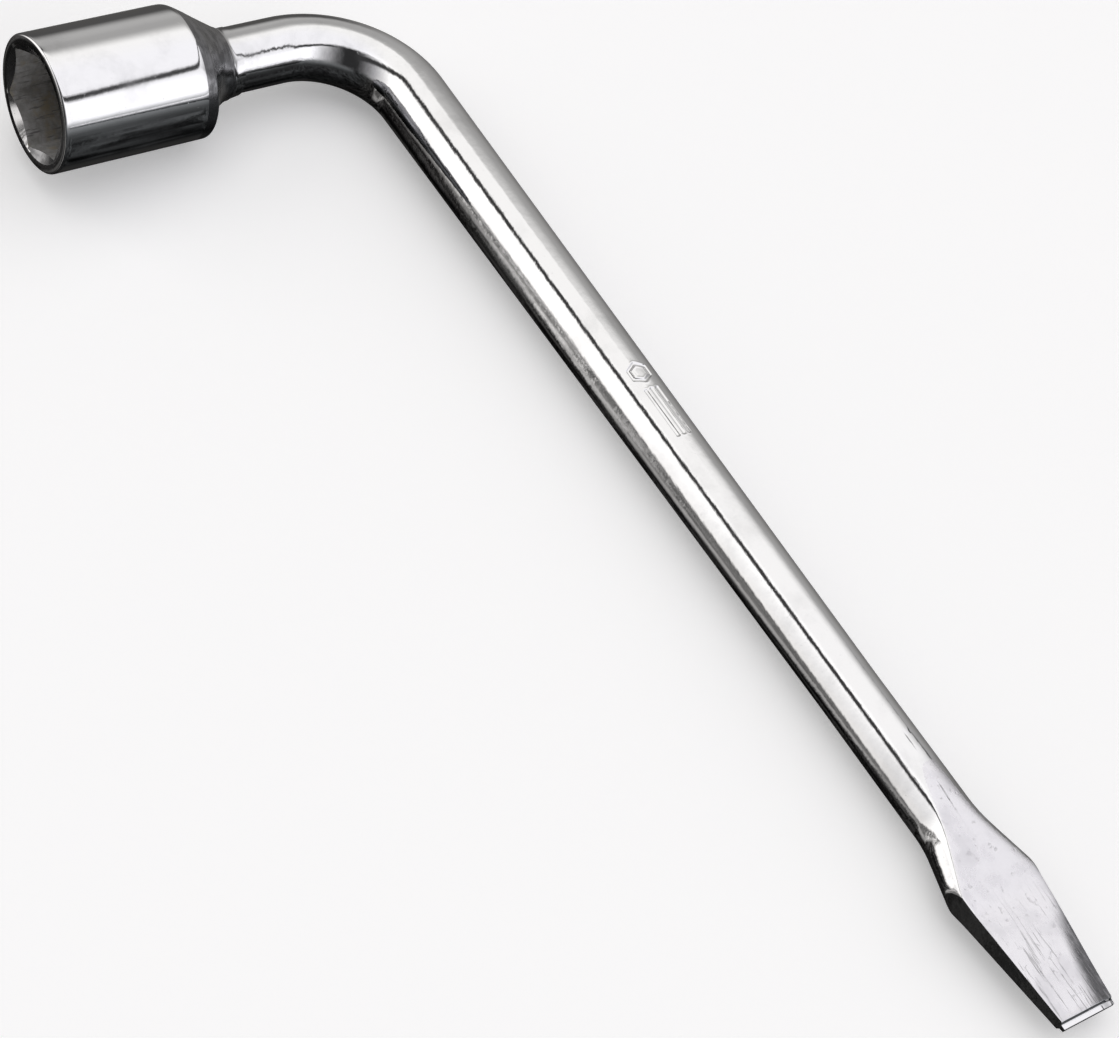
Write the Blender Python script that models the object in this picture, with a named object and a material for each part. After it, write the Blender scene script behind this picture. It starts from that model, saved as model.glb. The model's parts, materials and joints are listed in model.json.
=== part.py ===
"""Lug wrench: a hex socket welded to a bent bar that ends in a pry blade, lying on a bench.

Metres, +Z up. The pieces are modelled in the wrench's own frame, and the empty bench_pose then lays
them down as the real wrench lies. In the wrench's frame the two arms' centrelines cross at the
origin, the short arm runs along -Y to the socket's mouth, the long arm runs along +X to the blade's
tip, and the blade's flats face +Z and -Z.
"""

import math

import bmesh
import bpy
from mathutils import Matrix, Vector

MM = 0.001

# Driving dimensions of the socket
HEX_FLATS = 23 * MM  # across the flats of the nut that it turns
HEX_TURN = math.radians(30)  # from +X to the first corner, about the socket's axis
WELL_DEPTH = 27 * MM
WEB = 5 * MM  # solid steel between the hex well and the bore for the bar
SOCKET_RADIUS = 16 * MM
BARREL = 36.5 * MM  # mouth to shoulder
SHOULDER_SLOPE = math.radians(36.6)  # of the cone behind the shoulder, from the socket's axis
SHOULDER_END = 10.8 * MM  # radius where the cone stops at the socket's back face
RIM_ROUND = 0.6 * MM
SHOULDER_ROUND = 2.5 * MM
LEAD_IN = 0.7 * MM  # how far the mouth's chamfer stands outside the hex corners
LEAD_IN_SLOPE = math.radians(30)  # of the chamfer, from the plane of the mouth

# Driving dimensions of the bar
SHORT_ARM = 86.5 * MM  # mouth to the long arm's centreline
LONG_ARM = 288.2 * MM  # blade tip to the short arm's centreline
BEND_RADIUS = 24.2 * MM  # of the centreline
SPIGOT_RADIUS = 7.83 * MM  # short arm, up to the bend
BEND_END_RADIUS = 8.4 * MM  # the long arm is thickest just past the bend
THIN_START = 206 * MM  # station on the long arm where the draw-down ends
NECK_RADIUS = 6.75 * MM  # from there to the blade

# Driving dimensions of the blade, as stations along the long arm
BLADE_START = 230 * MM  # the flats run out here
SPREAD_START = 242 * MM  # the bar widens from here
BLADE_WIDEST = 260.3 * MM
TIP_BEVEL = 1.4 * MM  # length of the bevel on each side of the tip
SPREAD_HALF = 12.4 * MM  # half width that the press gives, before the sides are trimmed
WIDEST_HALF = 9.6 * MM  # half width of the trimmed blade at its shoulders
TIP_HALF_WIDTH = 6.8 * MM
WIDEST_HALF_THICK = 2.65 * MM
TIP_HALF_THICK = 1.4 * MM
EDGE_HALF_THICK = 0.6 * MM

# Blocks that press the flats and trim the sides
DIE_REACH = 16 * MM  # across the blade and above it
DIE_LEAD = 15 * MM  # how far the press starts before the flats
TRIM_LEAD = 12 * MM  # and the trim before the shoulders
DIE_CLEAR = 1 * MM  # past the tip

# Driving dimensions of the weld
BEAD_LENGTH = 4.9 * MM
BEAD_LIP = 0.3 * MM  # thickness where the bead runs out on the bar
BEAD_HOLLOW = 1.1 * MM  # how deep the fillet is on the side towards the long arm

GAP = 0.3 * MM  # between pieces that touch

BAR_SIDES = 40
SOCKET_SIDES = 64
BEAD_SIDES = 48
BEND_STEPS = 14
ARM_STEPS = 8
SPREAD_STEPS = 5
BEAD_STEPS = 6
ROUND_STEPS = 3
SHARP_ANGLE = math.radians(28)
SETTLE_ROUNDS = 12

AXIS_SHORT = Vector((0, -1, 0))
AXIS_LONG = Vector((1, 0, 0))
UP = Vector((0, 0, 1))

MOUTH_Y = -SHORT_ARM
SHOULDER_CONE = (SOCKET_RADIUS - SHOULDER_END) / math.tan(SHOULDER_SLOPE)
SOCKET_LENGTH = BARREL + SHOULDER_CONE
BORE_FLOOR = WELL_DEPTH + WEB  # from the mouth
BORE_RADIUS = SPIGOT_RADIUS + GAP
HEX_CORNER = HEX_FLATS / math.sqrt(3)


def clear_scene():
    for obj in list(bpy.data.objects):
        bpy.data.objects.remove(obj, do_unlink=True)


def steel(name, colour, roughness):
    material = bpy.data.materials.new(name)
    material.use_nodes = True
    shader = material.node_tree.nodes["Principled BSDF"]
    shader.inputs["Base Color"].default_value = (*colour, 1)
    shader.inputs["Metallic"].default_value = 1
    shader.inputs["Roughness"].default_value = roughness
    return material


def add_piece(name, bm, material=None):
    """Makes an object of the mesh, with its faces turned out and its round faces smooth."""
    bmesh.ops.recalc_face_normals(bm, faces=bm.faces)
    mesh = bpy.data.meshes.new(name)
    bm.to_mesh(mesh)
    bm.free()
    mesh.shade_smooth()
    mesh.set_sharp_from_angle(angle=SHARP_ANGLE)
    if material:
        mesh.materials.append(material)
    obj = bpy.data.objects.new(name, mesh)
    bpy.context.scene.collection.objects.link(obj)
    return obj


def cut(obj, cutter):
    """Subtracts a hidden cutter from the object."""
    cutter.hide_render = True
    cutter.display_type = "WIRE"
    modifier = obj.modifiers.new(cutter.name, "BOOLEAN")
    modifier.operation = "DIFFERENCE"
    modifier.solver = "EXACT"
    modifier.object = cutter


def bridge(bm, first, second):
    """Faces between two rings of the same number of points."""
    count = len(first)
    for k in range(count):
        nxt = (k + 1) % count
        bm.faces.new((first[k], first[nxt], second[nxt], second[k]))


def loft(rings, closed=False):
    """A closed skin through rings of points: capped at both ends, or joined round in a loop."""
    bm = bmesh.new()
    made = [[bm.verts.new(point) for point in ring] for ring in rings]
    for first, second in zip(made, made[1:]):
        bridge(bm, first, second)
    if closed:
        bridge(bm, made[-1], made[0])
    else:
        bm.faces.new(made[0])
        bm.faces.new(made[-1])
    return bm


def turn(share):
    return 2 * math.pi * share


def section(centre, across, half_width, half_height, sides):
    """An elliptical ring about the centre."""
    points = []
    for k in range(sides):
        angle = turn((k + 0.5) / sides)
        sideways = across * (half_width * math.cos(angle))
        points.append(centre + sideways + UP * (half_height * math.sin(angle)))
    return points


def smooth_step(share):
    return share * share * (3 - 2 * share)


def between(start, end, share):
    return start + (end - start) * share


def bar_radius(station):
    """Radius of the long arm, drawn down evenly from the bend."""
    share = (station - BEND_RADIUS) / (THIN_START - BEND_RADIUS)
    return between(BEND_END_RADIUS, NECK_RADIUS, min(share, 1))


def bar_rings():
    """Round rings from the spigot's end, round the bend and along the long arm."""
    rings = []
    spigot_end = MOUTH_Y + BORE_FLOOR + GAP
    across = Vector((1, 0, 0))
    for y in (spigot_end, -BEND_RADIUS):
        rings.append(section(Vector((0, y, 0)), across, SPIGOT_RADIUS, SPIGOT_RADIUS, BAR_SIDES))
    for k in range(1, BEND_STEPS + 1):
        share = k / BEND_STEPS
        angle = share * math.pi / 2
        inward = Vector((math.cos(angle), -math.sin(angle), 0))
        centre = Vector((BEND_RADIUS, -BEND_RADIUS, 0)) - inward * BEND_RADIUS
        radius = between(SPIGOT_RADIUS, BEND_END_RADIUS, smooth_step(share))
        rings.append(section(centre, inward, radius, radius, BAR_SIDES))
    for k in range(1, ARM_STEPS + 1):
        x = between(BEND_RADIUS, THIN_START, k / ARM_STEPS)
        radius = bar_radius(x)
        rings.append(section(AXIS_LONG * x, AXIS_SHORT, radius, radius, BAR_SIDES))
    return rings


def blade_rings():
    """The bar's end spread wide, still round-sided and at full height: the dies shape it later."""
    rings = []
    for k in range(SPREAD_STEPS + 1):
        x = between(SPREAD_START, BLADE_WIDEST, k / SPREAD_STEPS)
        half_width = between(NECK_RADIUS, SPREAD_HALF, k / SPREAD_STEPS)
        rings.append(section(AXIS_LONG * x, AXIS_SHORT, half_width, NECK_RADIUS, BAR_SIDES))
    rings.append(section(AXIS_LONG * LONG_ARM, AXIS_SHORT, SPREAD_HALF, NECK_RADIUS, BAR_SIDES))
    return rings


def press_die(name, side):
    """The block that flattens one side of the blade: its inner face is the flat's profile."""
    run_out_slope = (WIDEST_HALF_THICK - NECK_RADIUS) / (BLADE_WIDEST - BLADE_START)
    bevel_slope = (EDGE_HALF_THICK - TIP_HALF_THICK) / TIP_BEVEL
    profile = [
        (BLADE_START - DIE_LEAD, NECK_RADIUS - run_out_slope * DIE_LEAD),
        (BLADE_WIDEST, WIDEST_HALF_THICK),
        (LONG_ARM - TIP_BEVEL, TIP_HALF_THICK),
        (LONG_ARM + DIE_CLEAR, EDGE_HALF_THICK + bevel_slope * DIE_CLEAR),
        (LONG_ARM + DIE_CLEAR, DIE_REACH),
        (BLADE_START - DIE_LEAD, DIE_REACH),
    ]
    ends = (-DIE_REACH, DIE_REACH)
    return add_piece(name, loft([[Vector((x, y, side * z)) for x, z in profile] for y in ends]))


def side_trim(name, side):
    """The block that trims one side of the blade to a plane, from the shoulder to the tip."""
    slope = (TIP_HALF_WIDTH - WIDEST_HALF) / (LONG_ARM - BLADE_WIDEST)
    profile = [
        (BLADE_WIDEST - TRIM_LEAD, WIDEST_HALF - slope * TRIM_LEAD),
        (LONG_ARM + DIE_CLEAR, TIP_HALF_WIDTH + slope * DIE_CLEAR),
        (LONG_ARM + DIE_CLEAR, DIE_REACH),
        (BLADE_WIDEST - TRIM_LEAD, DIE_REACH),
    ]
    ends = (-DIE_REACH, DIE_REACH)
    return add_piece(name, loft([[Vector((x, side * y, z)) for x, y in profile] for z in ends]))


def make_handle_bar():
    bar = add_piece("handle_bar", loft(bar_rings() + blade_rings()),
                    steel("bar_chrome", (0.80, 0.80, 0.81), 0.12))
    dies = [
        press_die("press_upper", 1),
        press_die("press_lower", -1),
        side_trim("trim_near", -1),
        side_trim("trim_far", 1),
    ]
    for die in dies:
        cut(bar, die)
    return bar, dies


def arc_points(centre, radius, start, end):
    """Points on a profile's corner, as (distance from the mouth, radius from the axis)."""
    points = []
    for k in range(ROUND_STEPS + 1):
        angle = between(start, end, k / ROUND_STEPS)
        points.append((centre[0] + radius * math.cos(angle), centre[1] + radius * math.sin(angle)))
    return points


def socket_profile():
    """The socket's outside from the mouth to its back face."""
    half_pi = math.pi / 2
    rim = arc_points((RIM_ROUND, SOCKET_RADIUS - RIM_ROUND), RIM_ROUND, math.pi, half_pi)
    set_back = SHOULDER_ROUND * math.tan(SHOULDER_SLOPE / 2)
    shoulder = arc_points((BARREL - set_back, SOCKET_RADIUS - SHOULDER_ROUND), SHOULDER_ROUND,
                          half_pi, half_pi - SHOULDER_SLOPE)
    return rim + shoulder + [(SOCKET_LENGTH, SHOULDER_END)]


def socket_ring(depth, radius, sides, first=0.0):
    """A ring round the socket's axis, at a distance from the mouth."""
    centre = Vector((0, MOUTH_Y + depth, 0))
    points = []
    for k in range(sides):
        angle = first + turn(k / sides)
        points.append(centre + Vector((radius * math.cos(angle), 0, radius * math.sin(angle))))
    return points


def make_socket():
    rings = [socket_ring(depth, radius, SOCKET_SIDES) for depth, radius in socket_profile()]
    socket = add_piece("socket", loft(rings), steel("socket_chrome", (0.80, 0.80, 0.81), 0.10))
    outside = 2 * MM
    chamfer = HEX_CORNER + LEAD_IN
    rise = math.tan(LEAD_IN_SLOPE)
    chamfer_depth = (chamfer - HEX_FLATS / 2 + LEAD_IN) * rise
    cutters = [
        add_piece("hex_cutter", loft([
            socket_ring(depth, HEX_CORNER, 6, HEX_TURN) for depth in (-outside, WELL_DEPTH)
        ])),
        add_piece("lead_in_cutter", loft([
            socket_ring(-outside, chamfer + outside / rise, SOCKET_SIDES),
            socket_ring(chamfer_depth, chamfer - chamfer_depth / rise, SOCKET_SIDES),
        ])),
        add_piece("bore_cutter", loft([
            socket_ring(depth, BORE_RADIUS, BAR_SIDES) for depth in (BORE_FLOOR, SOCKET_LENGTH + outside)
        ])),
    ]
    for cutter in cutters:
        cut(socket, cutter)
    return socket, cutters


def bead_profile(fullness):
    """The weld's outside: a straight cone at fullness 1 and a hollow fillet at 0."""
    points = []
    lip = BORE_RADIUS + BEAD_LIP
    for k in range(BEAD_STEPS + 1):
        share = k / BEAD_STEPS
        hollow = (1 - fullness) * BEAD_HOLLOW * math.sin(math.pi * share)
        points.append((between(0, BEAD_LENGTH, share), between(SHOULDER_END, lip, share) - hollow))
    return points


def make_weld_bead():
    """The fillet between the socket's back face and the bar, fuller away from the long arm."""
    start = SOCKET_LENGTH + GAP
    sections = []
    for k in range(BEAD_SIDES):
        angle = turn(k / BEAD_SIDES)
        outward = Vector((math.cos(angle), 0, math.sin(angle)))
        fullness = (1 - math.cos(angle)) / 2
        outer = [(start + along, radius) for along, radius in bead_profile(fullness)]
        inner = [(start + BEAD_LENGTH, BORE_RADIUS), (start, BORE_RADIUS)]
        sections.append([Vector((0, MOUTH_Y + a, 0)) + outward * r for a, r in outer + inner])
    return add_piece("weld_bead", loft(sections, closed=True),
                     steel("weld_chrome", (0.62, 0.62, 0.63), 0.28))


def lowest_point(centre, axis, radius, up):
    """The lowest point of a disc's edge."""
    return centre - (up - axis * up.dot(axis)).normalized() * radius


def bench_up():
    """The bench's upward normal: the wrench rests on its shoulder's edge and on the long arm."""
    shoulder = MOUTH_Y + BARREL - SHOULDER_ROUND * math.tan(SHOULDER_SLOPE / 2)
    discs = [
        (Vector((0, shoulder, 0)), AXIS_SHORT, SOCKET_RADIUS),
        (AXIS_LONG * BEND_RADIUS, AXIS_LONG, BEND_END_RADIUS),
        (AXIS_LONG * BLADE_START, AXIS_LONG, NECK_RADIUS),
    ]
    up = UP.copy()
    for _ in range(SETTLE_ROUNDS):
        low = [lowest_point(*disc, up) for disc in discs]
        up = (low[2] - low[0]).cross(low[1] - low[0]).normalized()
    return up


def world_points(pieces):
    graph = bpy.context.evaluated_depsgraph_get()
    for piece in pieces:
        evaluated = piece.evaluated_get(graph)
        for vertex in evaluated.to_mesh().vertices:
            yield evaluated.matrix_world @ vertex.co
        evaluated.to_mesh_clear()


def lay_on_bench(pieces, helpers):
    """Parents everything to an empty that rests the wrench on z = 0, centred over the origin."""
    up = bench_up()
    along = (AXIS_LONG - up * up.dot(AXIS_LONG)).normalized()
    pose = Matrix((along, up.cross(along), up)).to_4x4()
    empty = bpy.data.objects.new("bench_pose", None)
    bpy.context.scene.collection.objects.link(empty)
    empty.matrix_world = pose
    for obj in pieces + helpers:
        obj.parent = empty
    bpy.context.view_layer.update()
    points = list(world_points(pieces))
    low = [min(point[k] for point in points) for k in range(3)]
    high = [max(point[k] for point in points) for k in range(3)]
    empty.location = (-(low[0] + high[0]) / 2, -(low[1] + high[1]) / 2, -low[2])
    bpy.context.view_layer.update()


def main():
    clear_scene()
    socket, socket_cutters = make_socket()
    bar, dies = make_handle_bar()
    bead = make_weld_bead()
    lay_on_bench([socket, bar, bead], socket_cutters + dies)


main()
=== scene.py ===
"""Looks of the lug wrench: a chrome plated hex socket, a bent tapering bar with a pry blade, and the weld
that joins them, lying on a pale floor in soft studio light."""

import json
import math

import bpy
import numpy as np
from mathutils import Matrix, Vector, noise


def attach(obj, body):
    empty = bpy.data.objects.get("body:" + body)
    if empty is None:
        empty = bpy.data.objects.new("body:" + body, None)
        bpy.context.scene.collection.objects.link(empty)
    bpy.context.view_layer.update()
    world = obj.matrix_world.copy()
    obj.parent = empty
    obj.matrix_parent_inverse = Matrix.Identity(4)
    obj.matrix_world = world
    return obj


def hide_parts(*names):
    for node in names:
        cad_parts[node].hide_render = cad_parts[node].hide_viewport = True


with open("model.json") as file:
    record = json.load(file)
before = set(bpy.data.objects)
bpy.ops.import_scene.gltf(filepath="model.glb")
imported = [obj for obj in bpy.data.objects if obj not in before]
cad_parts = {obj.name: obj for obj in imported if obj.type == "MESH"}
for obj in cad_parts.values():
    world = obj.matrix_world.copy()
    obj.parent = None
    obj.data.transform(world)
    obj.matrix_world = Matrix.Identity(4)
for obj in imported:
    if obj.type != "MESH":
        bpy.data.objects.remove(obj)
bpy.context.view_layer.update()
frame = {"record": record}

MM = 0.001

# The wrench in its own frame, in metres: the arms' centrelines cross at the origin, the socket's mouth faces
# -Y and the blade's tip +X. Depths in the socket are from its mouth, and places along the long arm are from
# the origin.
HEX_FLATS = 23 * MM
HEX_TURN = math.radians(30)
WELL_DEPTH = 27 * MM
WEB = 5 * MM
SOCKET_RADIUS = 16 * MM
RIM_ROUND = 0.6 * MM
LEAD_IN = 0.45 * MM
LEAD_IN_SLOPE = math.radians(24)
SHORT_ARM = 86.5 * MM
LONG_ARM = 288.2 * MM
BEND_RADIUS = 24.2 * MM
SPIGOT_RADIUS = 7.83 * MM
SPIGOT_GAP = 0.3 * MM
BEND_END_RADIUS = 8.4 * MM
THIN_START = 206 * MM
NECK_RADIUS = 6.75 * MM
BLADE_START = 230 * MM
SPREAD_START = 242 * MM
BLADE_WIDEST = 260.3 * MM
TIP_BEVEL = 1.4 * MM
TIP_STEP = 0.45 * MM
SPREAD_HALF = 12.4 * MM
WIDEST_HALF = 9.6 * MM
TIP_HALF_WIDTH = 6.8 * MM
WIDEST_HALF_THICK = 2.65 * MM
TIP_HALF_THICK = 1.4 * MM
LAND_HALF_THICK = 0.62 * MM
EDGE_HALF_THICK = 0.5 * MM

# How far corners along the blade are softened: the press's, those at the tip, and the start of the spread
PRESS_SOFT = 1.5 * MM
TIP_SOFT = 0.08 * MM
TIP_ZONE = 5 * MM
SPREAD_SOFT = 3 * MM

# The shoulder and the ground weld behind it: one straight cone on the side away from the long arm, and on
# the side towards it a steep step that runs out in a hollow fillet. MID is a depth and the radius there.
CONE_MID = (40 * MM, 12.95 * MM)
CONE_SLOPE = 0.67
FILLET_MID = (41 * MM, 11.85 * MM)
FILLET_RUN = 3.3 * MM
WELD_RUN_OUT = 7.98 * MM
NEAR_TURN = math.radians(-29)
BARREL_END = 33 * MM
GRIND_EDGE = 35.75 * MM
WELD_LIP = 46.6 * MM
WELD_END = 49.6 * MM
LIP_HEIGHT = 0.10 * MM
LIP_WIDTH = 0.35 * MM
WELD_SINK = 0.3 * MM
FLOOR_DISH = 1.2 * MM

# The generic size mark: a hexagon and three grooves, pressed into the top of the long arm
MARK_START = 118 * MM
MARK_HALF = 2.5 * MM
MARK_GROOVE = 13 * MM
MARK_DEPTH = 0.22 * MM
MARK_STROKE = 0.34 * MM

# Wear on the blade: its far edge is rounded off towards the tip, and a burr stands before the bevel
WEAR_START = 262 * MM
WEAR_RUN = 22 * MM
WEAR_DEPTH = 0.5 * MM
BURR = 0.05 * MM
BURR_PLACE = 0.3 * MM
BURR_WIDTH = 0.35 * MM

# Rolled and polished steel is a little uneven: how much, and over what length
UNEVEN = 0.006 * MM
BAR_WAVE = 16 * MM
SOCKET_WAVE = 11 * MM
WELD_WAVE = 3.0 * MM
WELD_UNEVEN = 0.10 * MM

HEX_CORNER = HEX_FLATS / math.sqrt(3)
MOUTH_RADIUS = HEX_CORNER + LEAD_IN
RIM_EDGE = SOCKET_RADIUS - RIM_ROUND
SOCKET_LENGTH = 43.4 * MM
BORE_RADIUS = SPIGOT_RADIUS + SPIGOT_GAP
BORE_FLOOR = WELL_DEPTH + WEB

# Points round each piece, and steps along the bar
BAR_SIDES = 224
SOCKET_SIDES = 240
WELD_SIDES = 192
PLAIN_STEP = 1.0 * MM
MARK_STEP = 0.13 * MM

# The higher, the crisper: the edges between the blade's flats and its sides, and the corners of the hex well
NEAR_CREASE = 70
FAR_CREASE = 12
HEX_CREASE = 90

# A trimming or pressing plane that is too far out to cut the bar
FREE = 1.0


# ---------------------------------------------------------------- the wrench's own frame, from the CAD mounts

def wrench_frame():
    """The wrench's own frame in the world, from the rim's direction, one hex flat's and the well's floor."""
    mounts = {mount["name"]: mount for mount in frame["record"]["mounts"]}
    mouth_way = Vector(mounts["socket_rim"]["axis"]).normalized()
    across = -Vector(mounts["hex_flat_inner"]["axis"])
    across = (across - mouth_way * across.dot(mouth_way)).normalized()
    up = across.cross(-mouth_way)
    origin = Vector(mounts["nut_stop"]["pos_m"]) - mouth_way * (SHORT_ARM - WELL_DEPTH)
    axes = Matrix((across, -mouth_way, up)).transposed().to_4x4()
    return Matrix.Translation(origin) @ axes


WRENCH = wrench_frame()


# ---------------------------------------------------------------- mesh helpers

def smooth_step(x):
    x = np.clip(x, 0, 1)
    return x * x * (3 - 2 * x)


def mix(a, b, share):
    return a + (b - a) * share


def ring_faces(rings, around, loop):
    """Four-sided faces between neighbouring rings, and between the last and the first in a loop."""
    faces = []
    for i in range(rings if loop else rings - 1):
        a = i * around
        b = ((i + 1) % rings) * around
        for k in range(around):
            n = (k + 1) % around
            faces.append((a + k, a + n, b + n, b + k))
    return faces


def grid_object(name, grid, loop=False, sharp=35):
    """A closed skin over rings of points: grid is (rings, points round a ring, 3). Its two ends are capped,
    unless it is a loop."""
    rings, around = grid.shape[:2]
    verts = grid.reshape(-1, 3).tolist()
    faces = ring_faces(rings, around, loop)
    ends = [] if loop else [(0, -1), (rings - 1, 1)]
    for ring, turn in ends:
        centre = len(verts)
        verts.append(grid[ring].mean(0).tolist())
        start = ring * around
        for k in range(around):
            pair = (start + k, start + (k + 1) % around)
            faces.append((centre, *pair[::turn]))
    mesh = bpy.data.meshes.new(name)
    mesh.from_pydata(verts, [], faces)
    mesh.validate()
    volume = sum(p.center.dot(p.normal) * p.area for p in mesh.polygons)
    if volume < 0:
        mesh.flip_normals()
    mesh.shade_smooth()
    mesh.set_sharp_from_angle(angle=math.radians(sharp))
    obj = bpy.data.objects.new(name, mesh)
    bpy.context.scene.collection.objects.link(obj)
    return obj


def waviness(points, size, seed):
    """Smooth noise between about -1 and 1 at each point."""
    shift = Vector((seed * 7.31, seed * 3.17, seed * 5.71))
    heights = [noise.noise(Vector(p) / size + shift) for p in points.reshape(-1, 3)]
    return np.array(heights).reshape(points.shape[:-1])


def ripple(grid, outward, amount, size, seed):
    """Moves the points in or out a little, as rolled and polished steel does."""
    return grid + outward * (amount * waviness(grid, size, seed))[..., None]


# ---------------------------------------------------------------- handle bar

def blade_half_thick(x):
    """Half the thickness that the press leaves, with a slightly softened start and shoulder."""
    slope = (NECK_RADIUS - WIDEST_HALF_THICK) / (BLADE_WIDEST - BLADE_START)
    bevel = LONG_ARM - TIP_BEVEL
    stations = (0, BLADE_WIDEST, bevel, bevel + TIP_STEP, LONG_ARM)
    heights = (WIDEST_HALF_THICK + slope * BLADE_WIDEST, WIDEST_HALF_THICK, TIP_HALF_THICK,
               LAND_HALF_THICK, EDGE_HALF_THICK)
    soft = PRESS_SOFT if x < LONG_ARM - TIP_ZONE else TIP_SOFT
    return float(np.mean(np.interp(x + np.linspace(-soft, soft, 9), stations, heights)))


def spread_half_width(x):
    """Half width of the pressed bar before its sides are trimmed."""
    spots = x + np.linspace(-SPREAD_SOFT, SPREAD_SOFT, 11)
    return float(np.mean(np.interp(spots, (SPREAD_START, BLADE_WIDEST), (NECK_RADIUS, SPREAD_HALF))))


def trim_half_width(x):
    """Where the trimmed sides of the blade stand, from the centreline."""
    slope = (WIDEST_HALF - TIP_HALF_WIDTH) / (LONG_ARM - BLADE_WIDEST)
    return WIDEST_HALF + slope * (BLADE_WIDEST - x)


def bar_radius(x):
    """The round bar's radius, which falls evenly from the bend to where the thin part starts."""
    share = (x - BEND_RADIUS) / (THIN_START - BEND_RADIUS)
    return mix(BEND_END_RADIUS, NECK_RADIUS, min(share, 1))


def spigot_and_bend():
    """Stations from the spigot's hidden end round the bend. See bar_stations."""
    stations = []
    spigot_end = -SHORT_ARM + BORE_FLOOR + SPIGOT_GAP
    for y in np.linspace(spigot_end, -BEND_RADIUS, 40)[:-1]:
        stations.append(((0, y, 0), (1, 0, 0), SPIGOT_RADIUS, SPIGOT_RADIUS, FREE, FREE))
    for share in np.linspace(0, 1, 61)[:-1]:
        angle = share * math.pi / 2
        inward = np.array((math.cos(angle), -math.sin(angle), 0))
        centre = np.array((BEND_RADIUS, -BEND_RADIUS, 0)) - inward * BEND_RADIUS
        radius = mix(SPIGOT_RADIUS, BEND_END_RADIUS, smooth_step(share))
        stations.append((centre, inward, radius, radius, FREE, FREE))
    return stations


def round_arm(end):
    """Stations along the round part of the long arm, close together under the mark."""
    mark_from = MARK_START - 1 * MM
    mark_to = MARK_START + 3 * MARK_HALF + MARK_GROOVE + 1 * MM
    lengths = np.concatenate([
        np.arange(BEND_RADIUS, mark_from, PLAIN_STEP),
        np.arange(mark_from, mark_to, MARK_STEP),
        np.arange(mark_to, end, PLAIN_STEP),
    ])
    return [((x, 0, 0), (0, -1, 0), bar_radius(x), bar_radius(x), FREE, FREE) for x in lengths]


def blade(start):
    """Stations along the neck and the blade, closest together at the tip."""
    tip = LONG_ARM - 3 * MM
    stations = []
    for x in np.concatenate([np.linspace(start, tip, 200)[:-1], np.linspace(tip, LONG_ARM, 44)]):
        width = spread_half_width(x)
        stations.append(((x, 0, 0), (0, -1, 0), width, NECK_RADIUS, trim_half_width(x), blade_half_thick(x)))
    return stations


def bar_stations():
    """(centre, across, half width, half height, trimmed half width, pressed half thickness) along the bar."""
    neck = BLADE_START - 8 * MM
    return spigot_and_bend() + round_arm(neck) + blade(neck)


def bar_ring(station):
    """Points and outward directions of one section: an ellipse cut by the flats and by the trimmed sides."""
    centre, across, half_width, half_height, trim, press = station
    spread = 2 * math.pi * (np.arange(BAR_SIDES) + 0.5) / BAR_SIDES
    width, height = min(half_width, trim), min(half_height, press)
    angle = np.arctan2(height * np.sin(spread), width * np.cos(spread))
    c, s = np.abs(np.cos(angle)), np.abs(np.sin(angle))
    reach = ((c / half_width) ** 2 + (s / half_height) ** 2) ** -0.5
    far_top = (np.cos(angle) < 0) & (np.sin(angle) > 0)
    press_crease = np.where(far_top, FAR_CREASE, NEAR_CREASE)
    for plane, toward, crease in ((press, s, press_crease), (trim, c, NEAR_CREASE)):
        cut = plane / np.maximum(toward, 1e-6)
        reach = reach * (1 + (reach / cut) ** crease) ** (-1 / crease)
    across = np.array(across, float)
    outward = np.cos(angle)[:, None] * across + np.sin(angle)[:, None] * np.array((0, 0, 1.0))
    return np.array(centre) + outward * reach[:, None], outward


def mark_strokes():
    """The mark's strokes as pairs of points, in distance along the arm and across it."""
    middle = MARK_START + MARK_HALF
    turns = np.arange(7) * math.pi / 3
    corners = [(middle + MARK_HALF * math.cos(a), MARK_HALF * math.sin(a)) for a in turns]
    strokes = list(zip(corners, corners[1:]))
    start = MARK_START + 3 * MARK_HALF
    for across in (-0.6 * MARK_HALF, 0, 0.6 * MARK_HALF):
        strokes.append(((start, across), (start + MARK_GROOVE, across)))
    return np.array(strokes)


def press_mark(grid):
    """Sinks the mark into the top of the bar, with a faint raised burr beside each stroke."""
    near = np.full(grid.shape[:2], 1.0)
    for start, end in mark_strokes():
        way = end - start
        share = np.clip(((grid[..., :2] - start) @ way) / (way @ way), 0, 1)
        foot = start + share[..., None] * way
        near = np.minimum(near, np.linalg.norm(grid[..., :2] - foot, axis=-1))
    sunk = MARK_DEPTH * (1 - smooth_step((near - 0.5 * MARK_STROKE) / MARK_STROKE))
    burr = 0.15 * MARK_DEPTH * np.exp(-((near - 2 * MARK_STROKE) / (0.6 * MARK_STROKE)) ** 2)
    grid[..., 2] += np.where(grid[..., 2] > 0, burr - sunk, 0)
    return grid


def wear_tip(grid):
    """Rounds off the blade's far edge towards the tip, and raises a burr before the bevel."""
    x, y, z = grid[..., 0], grid[..., 1], grid[..., 2]
    edge = smooth_step((y / trim_half_width(x) - 0.50) / 0.50)
    worn = smooth_step((x - WEAR_START) / WEAR_RUN) * edge * WEAR_DEPTH
    burr = BURR * np.exp(-((x - LONG_ARM + TIP_BEVEL + BURR_PLACE) / BURR_WIDTH) ** 2)
    top = (z > 0.3 * TIP_HALF_THICK) & (x > BLADE_WIDEST)
    grid[..., 2] += np.where(top, burr - worn, 0)
    return grid


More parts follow.
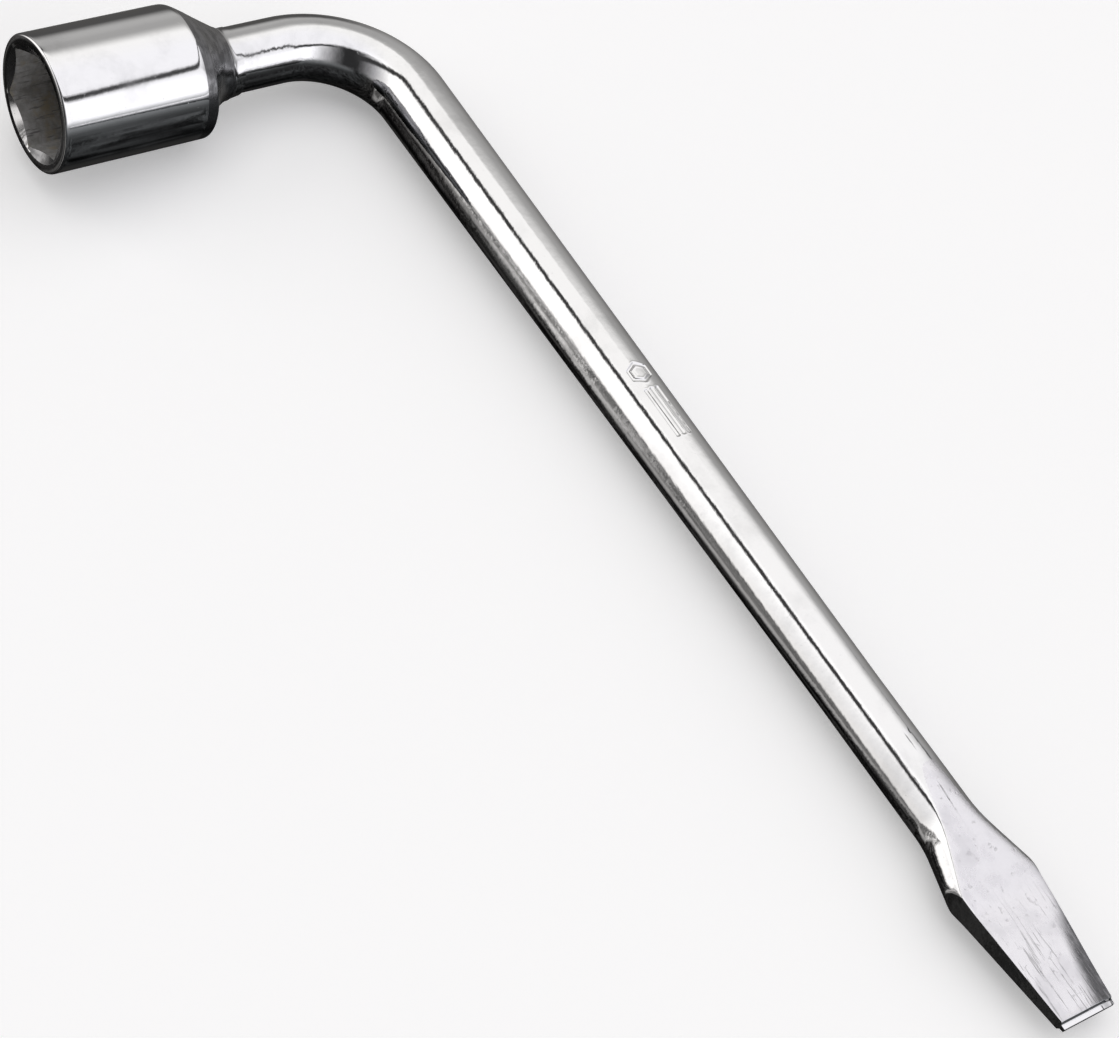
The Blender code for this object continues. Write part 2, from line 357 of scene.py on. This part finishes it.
def make_handle_bar():
    rings = [bar_ring(station) for station in bar_stations()]
    grid = np.array([ring[0] for ring in rings])
    outward = np.array([ring[1] for ring in rings])
    grid = wear_tip(press_mark(grid))
    grid = ripple(grid, outward, UNEVEN, BAR_WAVE, 1)
    return grid_object("handle_bar_finish", grid)


# ---------------------------------------------------------------- socket

def arc(centre, radius, start, end, steps):
    """Points on an arc between two angles."""
    return [(centre[0] + radius * math.cos(a), centre[1] + radius * math.sin(a))
            for a in np.linspace(start, end, steps)]


def hex_reach(angle):
    """Distance from the socket's axis to the hex well's wall, with slightly rounded corners. HEX_TURN is the
    angle of a corner, and the flats' middles lie 30 degrees from it."""
    flats = HEX_TURN + math.radians(30) + np.arange(6) * math.pi / 3
    toward = np.maximum(np.cos(angle[:, None] - flats[None, :]), 0)
    return HEX_FLATS / 2 * (toward ** HEX_CREASE).sum(1) ** (-1 / HEX_CREASE)


def lower_of(a, b, soft):
    """The smaller of two values, blended over a distance of about soft where they cross."""
    return -soft * math.log(math.exp(-a / soft) + math.exp(-b / soft))


def shoulder_rings(angle, start, end, steps):
    """Rings along the shoulder and the weld, between two distances from the mouth."""
    near = ((1 + np.cos(angle - NEAR_TURN)) / 2) ** 1.4
    rings = []
    for depth in np.linspace(start, end, steps):
        cone = CONE_MID[1] - CONE_SLOPE * (depth - CONE_MID[0])
        cone = -lower_of(-cone, -WELD_RUN_OUT, 0.15 * MM)
        fillet = (FILLET_MID[1] - WELD_RUN_OUT) * math.exp((FILLET_MID[0] - depth) / FILLET_RUN)
        fillet = fillet + WELD_RUN_OUT
        far_radius = lower_of(SOCKET_RADIUS, cone, 0.25 * MM)
        near_radius = lower_of(SOCKET_RADIUS, fillet, 0.35 * MM)
        rings.append(ring_at(depth, mix(far_radius, near_radius, near), angle))
    return rings


def ring_at(depth, radius, angle):
    """Points round the socket's axis: depth from the mouth and radius may vary with the angle."""
    depth = np.broadcast_to(depth, angle.shape)
    radius = np.broadcast_to(radius, angle.shape)
    return np.stack([radius * np.cos(angle), depth - SHORT_ARM, radius * np.sin(angle)], axis=1)


def even_angles(sides):
    """Evenly spaced angles round the socket's axis, and the outward direction at each."""
    angle = 2 * math.pi * np.arange(sides) / sides
    return angle, np.stack([np.cos(angle), 0 * angle, np.sin(angle)], axis=1)


def well_rings(angle):
    """Rings from the dished floor of the well up its six walls and out over the lead-in to the rim's face."""
    hexagon = hex_reach(angle)
    meets = (MOUTH_RADIUS - hexagon) * math.tan(LEAD_IN_SLOPE)
    dish = [(0.02, 1.0), (0.3, 0.7), (0.58, 0.2), (0.62, 0.0), (0.97, 0.0), (1.0, 0.0)]
    rings = [ring_at(WELL_DEPTH + FLOOR_DISH * drop, hexagon * share, angle) for share, drop in dish]
    for share in np.linspace(1, 0, 14)[1:]:
        rings.append(ring_at(mix(meets, WELL_DEPTH, share), hexagon, angle))
    for share in np.linspace(0, 1, 6)[1:]:
        rings.append(ring_at(meets * (1 - share), mix(hexagon, MOUTH_RADIUS, share), angle))
    rings.append(ring_at(0.0, mix(MOUTH_RADIUS, RIM_EDGE, 0.5), angle))
    return rings


def barrel_rings(angle):
    """Rings round the rim, along the barrel and over the shoulder."""
    profile = arc((RIM_ROUND, RIM_EDGE), RIM_ROUND, math.pi, math.pi / 2, 9)
    profile += [(depth, SOCKET_RADIUS) for depth in np.linspace(RIM_ROUND, BARREL_END, 36)[1:-1]]
    rings = [ring_at(depth, radius, angle) for depth, radius in profile]
    return rings + shoulder_rings(angle, BARREL_END, SOCKET_LENGTH, 48)


def make_socket():
    angle, outward = even_angles(SOCKET_SIDES)
    barrel = ripple(np.array(barrel_rings(angle)), outward[None], UNEVEN, SOCKET_WAVE, 3)
    bore = [ring_at(depth, BORE_RADIUS, angle) for depth in (SOCKET_LENGTH, BORE_FLOOR)]
    return grid_object("socket_finish", np.concatenate([well_rings(angle), barrel, bore]), sharp=24)


def make_weld():
    """The ground weld: it carries the shoulder's surface on to the bar and ends in a thin raised lip."""
    angle, outward = even_angles(WELD_SIDES)
    steps = 40
    sections = np.array(shoulder_rings(angle, SOCKET_LENGTH, WELD_END, steps))
    depth = sections[..., 1] + SHORT_ARM
    lip = np.exp(-((depth - WELD_LIP) / LIP_WIDTH) ** 2) * LIP_HEIGHT
    fade = np.sin(np.linspace(0, math.pi, steps))[:, None]
    lumps = waviness(sections, WELD_WAVE, 9) * WELD_UNEVEN * fade
    sections = sections + outward[None] * (lip + lumps)[..., None]
    skirt = [ring_at(depth, SPIGOT_RADIUS - WELD_SINK, angle) for depth in (WELD_END, SOCKET_LENGTH)]
    return grid_object("weld_bead_finish", np.concatenate([sections, skirt]), loop=True)


# ---------------------------------------------------------------- node helpers

class Graph:
    """Short calls that add shader nodes and return their output sockets."""

    def __init__(self, tree):
        self.tree = tree

    def node(self, kind, **settings):
        node = self.tree.nodes.new(kind)
        for key, value in settings.items():
            setattr(node, key, value)
        return node

    def feed(self, socket, value):
        if isinstance(value, bpy.types.NodeSocket):
            self.tree.links.new(value, socket)
        else:
            socket.default_value = value

    def math(self, operation, a, b=0.0):
        node = self.node("ShaderNodeMath", operation=operation)
        self.feed(node.inputs[0], a)
        self.feed(node.inputs[1], b)
        return node.outputs[0]

    def add(self, a, b):
        return self.math("ADD", a, b)

    def sub(self, a, b):
        return self.math("SUBTRACT", a, b)

    def times(self, a, b):
        return self.math("MULTIPLY", a, b)

    def larger(self, a, b):
        return self.math("MAXIMUM", a, b)

    def smaller(self, a, b):
        return self.math("MINIMUM", a, b)

    def ramp(self, value, low, high, start=0.0, end=1.0):
        """start at low and before it, end at high and beyond, and a smooth step between. low may be the
        larger of the two."""
        node = self.node("ShaderNodeMapRange", interpolation_type="SMOOTHSTEP")
        for socket, number in zip(node.inputs, (value, low, high, start, end)):
            self.feed(socket, number)
        return node.outputs[0]

    def band(self, value, centre, half, soft):
        """1 within half of centre, falling to 0 over soft."""
        off = self.math("ABSOLUTE", self.sub(value, centre))
        return self.ramp(off, half, half + soft, 1.0, 0.0)

    def mix(self, share, a, b):
        node = self.node("ShaderNodeMix", data_type="FLOAT")
        self.feed(node.inputs[0], share)
        self.feed(node.inputs[2], a)
        self.feed(node.inputs[3], b)
        return node.outputs[0]

    def tint(self, share, a, b):
        node = self.node("ShaderNodeMix", data_type="RGBA")
        self.feed(node.inputs[0], share)
        self.feed(node.inputs[6], (*a, 1) if isinstance(a, tuple) else a)
        self.feed(node.inputs[7], (*b, 1) if isinstance(b, tuple) else b)
        return node.outputs[2]

    def split(self, vector):
        node = self.node("ShaderNodeSeparateXYZ")
        self.feed(node.inputs[0], vector)
        return node.outputs

    def stretch(self, vector, scale):
        node = self.node("ShaderNodeMapping")
        self.feed(node.inputs["Vector"], vector)
        node.inputs["Scale"].default_value = scale
        return node.outputs[0]

    def turn(self, vector, matrix):
        """Takes points through a rigid matrix."""
        node = self.node("ShaderNodeMapping")
        self.feed(node.inputs["Vector"], vector)
        node.inputs["Location"].default_value = matrix.translation
        node.inputs["Rotation"].default_value = matrix.to_euler()
        return node.outputs[0]

    def noise(self, vector, scale, detail=3.0, roughness=0.5):
        """Noise around 0.5. On the wrench, scale is in features per metre, so 1000 is a 1 mm grain."""
        node = self.node("ShaderNodeTexNoise")
        self.feed(node.inputs["Vector"], vector)
        self.feed(node.inputs["Scale"], scale)
        self.feed(node.inputs["Detail"], detail)
        self.feed(node.inputs["Roughness"], roughness)
        return node.outputs[0]

    def bump(self, height, distance, normal=None):
        """Bumps distance high, on top of the ones in normal."""
        node = self.node("ShaderNodeBump")
        self.feed(node.inputs["Strength"], 1.0)
        self.feed(node.inputs["Height"], height)
        self.feed(node.inputs["Distance"], distance)
        if normal is not None:
            self.feed(node.inputs["Normal"], normal)
        return node.outputs[0]


def steel(name):
    """A metal material: its graph, its shader and the wrench's own coordinates in metres."""
    material = bpy.data.materials.new(name)
    material.use_nodes = True
    graph = Graph(material.node_tree)
    shader = material.node_tree.nodes["Principled BSDF"]
    shader.inputs["Metallic"].default_value = 1.0
    place = graph.turn(graph.node("ShaderNodeTexCoord").outputs["Object"], WRENCH.inverted())
    return material, graph, shader, place


PLATE = (0.84, 0.84, 0.85)
SMUDGED_PLATE = (0.756, 0.756, 0.765)
# SHADED_PLATE is painted shade: the dark colour mixed into the bar where bar_shade paints dark reflections
SHADED_PLATE = (0.16, 0.155, 0.15)


def along_axis(axis, squeeze):
    """A stretch that draws noise out along one axis of the wrench."""
    return tuple(squeeze if k == axis else 1.0 for k in range(3))


def bar_shade(g, place):
    """Painted shade: where the bar's colour is darkened as a painted reflection of dark things close to it
    that the studio doesn't have: the lower side near the bend, and the blade's far edge."""
    length, across, height = g.split(place)
    patches = g.ramp(g.noise(g.stretch(place, (0.35, 0.35, 1.0)), 420, 4, 0.6), 0.30, 0.55, 0.65, 1.0)
    near_bend = g.times(g.ramp(length, 80 * MM, 48 * MM), g.ramp(height, 3.8 * MM, 2.0 * MM))
    far_edge = g.times(g.ramp(length, 226 * MM, 240 * MM), g.ramp(across, 1.0 * MM, 3.0 * MM))
    far_edge = g.times(far_edge, g.ramp(length, 266 * MM, 260 * MM))
    return g.times(g.larger(near_bend, far_edge), patches)


def polished_chrome(name, along, rough=0.055, uneven=1.0, shade=0.0):
    """Bright plate over lightly polished steel: faint grain along the piece, orange peel, pits and smudges.
    shade is how much of the painted shade from bar_shade it has."""
    material, g, shader, place = steel(name)
    grain = g.noise(g.stretch(place, along_axis(along, 0.05)), 2600, 4, 0.6)
    drawn = g.noise(g.stretch(place, along_axis(along, 0.3)), 900, 3, 0.55)
    peel = g.noise(place, 480, 3, 0.55)
    sway = g.noise(place, 120, 2, 0.5)
    pits = g.ramp(g.noise(place, 1700, 2, 0.4), 0.74, 0.80)
    smudge = g.ramp(g.noise(place, 80, 6, 0.65), 0.45, 0.72)
    plate = g.tint(smudge, PLATE, SMUDGED_PLATE)
    # Painted shade: darkens the plate towards SHADED_PLATE where bar_shade says
    if shade:
        plate = g.tint(g.times(bar_shade(g, place), shade), plate, SHADED_PLATE)
    g.feed(shader.inputs["Base Color"], plate)
    g.feed(shader.inputs["Roughness"], g.add(g.mix(smudge, rough, rough + 0.05), g.times(pits, 0.15)))
    normal = g.bump(sway, 0.03 * MM * uneven)
    normal = g.bump(peel, 0.022 * MM * uneven, normal)
    normal = g.bump(drawn, 0.015 * MM * uneven, normal)
    normal = g.bump(grain, 0.0020 * MM, normal)
    normal = g.bump(g.times(pits, -1), 0.012 * MM, normal)
    g.feed(shader.inputs["Normal"], normal)
    return material


def well_steel():
    """The rough, thinly plated inside of the hex well, with broach marks along it and brown stains."""
    material, g, shader, place = steel("hex_well_steel")
    marks = g.noise(g.stretch(place, (1.0, 0.10, 1.0)), 1500, 5, 0.65)
    rings = g.noise(g.stretch(place, (0.10, 1.0, 0.10)), 1100, 4, 0.6)
    scale = g.noise(place, 380, 6, 0.7)
    stain = g.ramp(g.noise(place, 160, 4, 0.6), 0.48, 0.66)
    colour = g.tint(g.ramp(scale, 0.32, 0.70), (0.56, 0.56, 0.56), (0.33, 0.32, 0.31))
    colour = g.tint(stain, colour, (0.42, 0.37, 0.28))
    colour = g.tint(g.ramp(marks, 0.54, 0.66), colour, (0.24, 0.235, 0.23))
    g.feed(shader.inputs["Base Color"], colour)
    g.feed(shader.inputs["Roughness"], g.mix(scale, 0.34, 0.56))
    shader.inputs["Metallic"].default_value = 0.45
    normal = g.bump(scale, 0.05 * MM)
    normal = g.bump(rings, 0.02 * MM, normal)
    g.feed(shader.inputs["Normal"], g.bump(marks, 0.05 * MM, normal))
    return material


def weld_chrome():
    """The shoulder and the weld, ground by hand and thinly plated: dark, with marks round the axis."""
    material, g, shader, place = steel("weld_chrome")
    turned = g.noise(g.stretch(place, (0.12, 1.0, 0.12)), 1500, 4, 0.6)
    lumps = g.noise(place, 420, 4, 0.6)
    fine = g.noise(place, 2400, 3, 0.6)
    shade = g.ramp(g.add(g.times(lumps, 0.6), g.times(turned, 0.4)), 0.40, 0.62)
    g.feed(shader.inputs["Base Color"], g.tint(shade, (0.32, 0.32, 0.33), (0.17, 0.17, 0.175)))
    g.feed(shader.inputs["Roughness"], g.mix(shade, 0.17, 0.30))
    normal = g.bump(lumps, 0.05 * MM)
    normal = g.bump(turned, 0.02 * MM, normal)
    g.feed(shader.inputs["Normal"], g.bump(fine, 0.006 * MM, normal))
    return material


def blade_satin():
    """Pressed flats: satin, with small dents, a dark worn far corner, and scratches that run towards the tip
    and thicken there."""
    material, g, shader, place = steel("blade_satin")
    along, across, height = g.split(place)
    fine = g.noise(g.stretch(place, (0.03, 1.0, 1.0)), 4200, 4, 0.7)
    dents = g.ramp(g.noise(place, 640, 3, 0.5), 0.62, 0.75)
    cloud = g.ramp(g.noise(place, 170, 5, 0.6), 0.38, 0.72)

    lengthwise = g.ramp(g.noise(g.stretch(place, (0.045, 1.0, 1.0)), 1700, 3, 0.6), 0.55, 0.68)
    crossing = g.ramp(g.noise(g.stretch(place, (1.0, 0.06, 1.0)), 1500, 3, 0.6), 0.64, 0.74)
    crossing = g.times(crossing, g.ramp(along, 276 * MM, 283 * MM))
    scratch = g.times(g.larger(lengthwise, crossing), g.ramp(along, 256 * MM, 276 * MM))

    corner = g.add(across, g.times(g.sub(along, WEAR_START), 0.28))
    worn = g.times(g.ramp(along, WEAR_START, WEAR_START + 10 * MM), g.ramp(corner, 7.4 * MM, 10.5 * MM))
    worn = g.times(worn, g.ramp(fine, 0.30, 0.55, 0.55, 1.0))

    colour = g.tint(cloud, (0.80, 0.79, 0.815), (0.73, 0.72, 0.75))
    colour = g.tint(g.times(dents, 0.35), colour, (0.45, 0.44, 0.46))
    colour = g.tint(g.times(scratch, 0.75), colour, (0.40, 0.40, 0.41))
    g.feed(shader.inputs["Base Color"], g.tint(g.times(worn, 0.9), colour, (0.10, 0.10, 0.105)))
    g.feed(shader.inputs["Roughness"], g.mix(cloud, 0.24, 0.32))
    normal = g.bump(fine, 0.008 * MM)
    normal = g.bump(g.times(dents, -1), 0.03 * MM, normal)
    g.feed(shader.inputs["Normal"], g.bump(g.times(scratch, -1), 0.03 * MM, normal))
    return material


# ---------------------------------------------------------------- pieces

# What tells the socket's surfaces apart: a slice of depth that is the rim's face, a depth that the lead-in
# ends well before, and the clearances to the bore and to the well's corners and floor
RIM_FACE = 0.05 * MM
LEAD_IN_REACH = 3 * MM
BORE_CLEAR = 0.5 * MM
CORNER_CLEAR = 0.1 * MM
FLOOR_CLEAR = 2 * MM


def finish_piece(obj, materials, choose):
    """Gives each face its material, then lays the piece down as the wrench lies on the floor."""
    for material in materials:
        obj.data.materials.append(material)
    for polygon in obj.data.polygons:
        polygon.material_index = choose(polygon)
    obj.data.transform(WRENCH)


def bar_choice(polygon):
    """0 for the bar's chrome, 1 for the blade's satin flats."""
    along, lean = polygon.center.x, abs(polygon.normal.z)
    neck_flat = BLADE_START - 1 * MM < along < BLADE_WIDEST and lean > 0.96 and polygon.normal.x > 0.03
    tip_flat = BLADE_WIDEST < along < LONG_ARM - TIP_BEVEL and lean > 0.75
    return 1 if neck_flat or tip_flat else 0


def socket_choice(polygon):
    """0 for the socket's chrome, 1 for the well's steel, 2 for ground steel on the shoulder and the lead-in.
    The lead-in's lower part on the side away from the long arm gets the chrome instead, as a painted
    highlight."""
    centre = polygon.center
    depth = centre.y + SHORT_ARM
    off_axis = math.hypot(centre.x, centre.z)
    lead_in = RIM_FACE < depth < LEAD_IN_REACH and off_axis < MOUTH_RADIUS and polygon.normal.y < -0.3
    # Painted highlight: this part of the lead-in is given the chrome, the rest of it the dark ground steel
    bright = centre.x < 0 and centre.z < -0.5 * HEX_CORNER
    if lead_in:
        return 0 if bright else 2
    if depth > GRIND_EDGE and off_axis > BORE_RADIUS + BORE_CLEAR:
        return 2
    in_well = off_axis < HEX_CORNER + CORNER_CLEAR and depth < WELL_DEPTH + FLOOR_CLEAR
    return 1 if in_well else 0


def weld_choice(polygon):
    """0 for ground steel, 1 for the chrome that starts behind the weld's lip."""
    return 1 if polygon.center.y + SHORT_ARM > WELD_LIP + 0.2 * MM else 0


def build_pieces():
    # The bar's chrome, also used behind the weld's lip, has painted shade near the bend and at the blade's
    # far edge
    bar_chrome = polished_chrome("bar_chrome", 0, shade=0.6)
    socket_chrome = polished_chrome("socket_chrome", 1, rough=0.06, uneven=0.22)
    ground_steel = weld_chrome()
    socket_steels = [socket_chrome, well_steel(), ground_steel]
    for piece, node, slot, materials, choose in (
        (make_handle_bar(), "handle_bar", "bar_chrome", [bar_chrome, blade_satin()], bar_choice),
        (make_socket(), "socket", "socket_chrome", socket_steels, socket_choice),
        (make_weld(), "weld_bead", "weld_chrome", [ground_steel, bar_chrome], weld_choice),
    ):
        finish_piece(piece, materials, choose)
        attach(piece, "root")
        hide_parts(node)


build_pieces()


# ---------------------------------------------------------------- floor, light and camera

FLOOR_HALF = 3.0
FLOOR_DROP = 0.02 * MM


def make_floor():
    """A pale floor just under the wrench. Glossy rays don't see it: the plate reflects a dark room below."""
    mesh = bpy.data.meshes.new("floor")
    corners = [(FLOOR_HALF * x, FLOOR_HALF * y, 0) for x, y in ((-1, -1), (1, -1), (1, 1), (-1, 1))]
    mesh.from_pydata(corners, [], [(0, 1, 2, 3)])
    floor = bpy.data.objects.new("floor", mesh)
    bpy.context.scene.collection.objects.link(floor)
    floor.location.z = -FLOOR_DROP
    material = bpy.data.materials.new("pale_floor")
    material.use_nodes = True
    shader = material.node_tree.nodes["Principled BSDF"]
    shader.inputs["Base Color"].default_value = (0.93, 0.93, 0.93, 1)
    shader.inputs["Roughness"].default_value = 0.9
    shader.inputs["Specular IOR Level"].default_value = 0.1
    shader.inputs["Emission Color"].default_value = (1, 1, 1, 1)
    shader.inputs["Emission Strength"].default_value = 0.28
    mesh.materials.append(material)
    floor.visible_glossy = False


# The studio as the plated steel sees it. It is laid out by direction in the wrench's own frame: x, y and z
# are the parts of a unit vector. Each pair is where a surface begins along one of them, and where it is full.
OVERHEAD_Z = (0.30, 0.80)
FRONT_CARD_Y = (-0.25, -0.50)
FRONT_CARD_Z = (-0.16, 0.14)
RIGHT_CARD_X = (0.45, 0.65)
RIGHT_CARD_Z = (-0.04, 0.16)
BACK_WALL_Y = (0.20, 0.40)
LEFT_WALL_X = (-0.70, -0.82)
LEFT_WALL_Y = (-0.5, 0.0)
RIGHT_WALL_X = (0.35, 0.6)
RIGHT_WALL_Z = (-0.50, -0.22)

# The level direction of the dark corner between the two cards, and the slanting ledge across the front one
CORNER_WAY = (0.545, -0.839)
LEDGE_SLOPE = 1.75
LEDGE_HEIGHT = 0.8375

# Brightness, as a background strength. Each pair is a surface's lower and upper part.
ROOM_DARK = 0.006
ROOM_STREAK = 0.13
BACK_WALL = (0.16, 0.42)
LEFT_WALL = (0.085, 0.48)
RIGHT_WALL = (0.07, 0.26)
OVERHEAD_PANEL = 1.10
CARDS = 1.30
CORNER = 0.03
GAP = 0.045
LEDGE_GAP = 0.15


def dark_streaks(g, way, x):
    """Slanted streaks: along the bar where it reflects what is in front, across the socket to its right."""
    slanted = g.turn(way, Matrix.Rotation(math.radians(3), 4, Vector((1, 1, 0))))
    near = g.noise(g.stretch(slanted, (1.0, 0.06, 0.06)), 60, 3, 0.6)
    side = g.noise(g.stretch(slanted, (0.06, 1.0, 0.06)), 90, 3, 0.6)
    return g.ramp(g.mix(g.ramp(x, 0.0, 0.2), near, side), 0.44, 0.62)


def room_light(g, streaks, x, y, z):
    """The unlit part of the studio: a dark room with streaks, a grey wall behind and two beside it."""
    room = g.times(g.mix(streaks, ROOM_DARK, ROOM_STREAK), g.ramp(z, -0.90, -0.50, 0.25, 1.0))
    left = g.mix(g.ramp(z, 0.02, 0.36), *LEFT_WALL)
    back = g.times(g.mix(g.ramp(z, -0.70, 0.50), *BACK_WALL), g.ramp(z, -0.76, -0.55, 0.15, 1.0))
    back = g.mix(g.times(g.ramp(z, -0.30, -0.50), g.ramp(x, -0.1, 0.2)), back, room)
    walls = g.mix(g.ramp(y, *BACK_WALL_Y), room, back)
    walls = g.mix(g.times(g.ramp(x, *LEFT_WALL_X), g.ramp(y, *LEFT_WALL_Y)), walls, left)
    right = g.mix(g.ramp(z, *RIGHT_WALL_Z), room, g.mix(g.ramp(z, -0.30, -0.02), *RIGHT_WALL))
    return g.mix(g.ramp(x, *RIGHT_WALL_X), walls, right)


def front_card_edge(g, x):
    """Height of the front card's lower edge: level on the right, deepest left of the middle, then a steep
    rise and a small step down."""
    slant = g.larger(g.sub(-0.28, g.times(g.larger(g.add(x, 0.525), 0.0), 4.0)), -0.70)
    return g.mix(g.ramp(x, -0.35, -0.10), g.mix(g.ramp(x, -0.58, -0.64), slant, -0.45), 0.0)


def panel_light(g, x, y, z):
    """(share of panel, its strength) for the panel overhead, the front card and the right card. In the corner
    between the two cards the light falls away."""
    behind = g.ramp(y, 0.25, 0.45)
    left_edge = g.ramp(x, g.mix(behind, -0.68, -0.64), g.mix(behind, -0.58, -0.34))
    overhead = g.times(g.ramp(z, *OVERHEAD_Z), left_edge)
    above_edge = g.sub(z, front_card_edge(g, x))
    front = g.times(g.ramp(y, *FRONT_CARD_Y), g.ramp(above_edge, *FRONT_CARD_Z))
    right = g.times(g.ramp(x, *RIGHT_CARD_X), g.ramp(z, *RIGHT_CARD_Z))
    strength = g.mix(g.larger(front, g.ramp(x, 0.66, 0.78)), OVERHEAD_PANEL, CARDS)
    level = g.math("SQRT", g.larger(g.sub(1.0, g.times(z, z)), 0.01))
    facing = g.math("DIVIDE", g.add(g.times(x, CORNER_WAY[0]), g.times(y, CORNER_WAY[1])), level)
    fade = g.add(g.times(g.sub(1.0, facing), 2.6), g.ramp(z, 0.86, 0.93))
    return g.larger(overhead, g.larger(front, right)), g.smaller(strength, g.larger(fade, CORNER))


def below_ledge(g, light, white, streaks, x, y, z):
    """Darkens the front card under a slanting ledge: streaky there, and darker to the right. A dark line
    marks the ledge itself."""
    ledge = g.add(g.add(z, g.times(x, LEDGE_SLOPE)), LEDGE_HEIGHT)
    in_front = g.times(g.ramp(y, -0.30, -0.50), g.times(g.ramp(x, -0.05, -0.25), white))
    in_front = g.times(in_front, g.ramp(x, -0.62, -0.57))
    under = g.mix(streaks, 0.10, g.ramp(x, -0.36, -0.50, 0.22, 1.0))
    light = g.mix(g.times(in_front, g.ramp(ledge, 0.03, -0.03)), light, under)
    line = g.times(g.ramp(x, -0.53, -0.47), g.ramp(x, -0.20, -0.30))
    line = g.times(line, g.times(g.band(ledge, 0.0, 0.03, 0.07), 0.5))
    return g.mix(g.times(line, in_front), light, LEDGE_GAP)


def dark_lines(g, x, y, z, wobble):
    """The gaps between the panels: one curves over the front, one runs along the right side."""
    bend = g.math("EXPONENT", g.times(g.add(x, 0.53), -4.55))
    front = g.sub(g.add(y, wobble), g.sub(g.times(bend, 0.34), 0.70))
    front = g.times(g.band(front, 0.0, 0.045, 0.08), g.times(g.ramp(x, 0.45, 0.20), g.ramp(y, 0.05, -0.15)))
    turn_in = g.add(g.times(g.larger(g.sub(y, 0.39), 0.0), 1.9), g.times(g.larger(g.sub(0.1, y), 0.0), 0.45))
    side = g.add(g.sub(x, 0.665), turn_in)
    side = g.times(g.band(side, 0.0, 0.024, 0.055), g.ramp(y, -0.35, -0.25))
    return g.times(g.larger(front, side), g.ramp(z, 0.30, 0.48))


def studio_tone(g, x, z):
    """The light's colour: faintly warm to the left, browner low down there, and bluish low on the right."""
    warm = g.tint(g.ramp(x, -0.5, 0.1), (1.0, 0.985, 0.965), (0.985, 0.975, 1.0))
    brown = g.tint(g.ramp(z, -0.2, 0.3), (1.0, 0.975, 0.95), warm)
    return g.tint(g.ramp(x, -0.2, 0.3), brown, g.tint(g.ramp(z, -0.2, 0.2), (0.93, 0.97, 1.0), warm))


def make_world():
    """Soft white panels overhead, in front and to the right, gaps between them, grey walls behind and beside,
    and a dark room below."""
    world = bpy.data.worlds.new("studio")
    bpy.context.scene.world = world
    world.use_nodes = True
    g = Graph(world.node_tree)
    way = g.turn(g.node("ShaderNodeTexCoord").outputs["Generated"], WRENCH.to_3x3().inverted().to_4x4())
    x, y, z = g.split(way)
    white, strength = panel_light(g, x, y, z)
    streaks = dark_streaks(g, way, x)
    light = g.mix(white, room_light(g, streaks, x, y, z), strength)
    light = below_ledge(g, light, white, streaks, x, y, z)
    wobble = g.times(g.sub(g.noise(way, 7.0, 3), 0.5), 0.03)
    light = g.mix(dark_lines(g, x, y, z, wobble), light, GAP)
    background = world.node_tree.nodes["Background"]
    g.feed(background.inputs["Color"], studio_tone(g, x, z))
    g.feed(background.inputs["Strength"], light)


# The camera stands above the space between the arms. All of it is in the wrench's own frame.
EYE = Vector((379.6, -318.1, 421.5)) * MM
LOOK_WAY = Vector((-0.42, 0.5066, -0.753))
RIGHT_WAY = Vector((0.5208, 0.814, 0.2572))
LENS = 85.5
SENSOR = 36.0


def make_camera():
    forward = LOOK_WAY.normalized()
    right = (RIGHT_WAY - forward * RIGHT_WAY.dot(forward)).normalized()
    up = right.cross(forward)
    data = bpy.data.cameras.new("camera")
    data.sensor_width = SENSOR
    data.lens = LENS
    data.clip_start = 0.01
    camera = bpy.data.objects.new("camera", data)
    bpy.context.scene.collection.objects.link(camera)
    turn = Matrix((right, up, -forward)).transposed().to_4x4()
    camera.matrix_world = WRENCH @ Matrix.Translation(EYE) @ turn
    bpy.context.scene.camera = camera


make_floor()
make_world()
make_camera()
bpy.context.scene.view_settings.view_transform = "Standard"
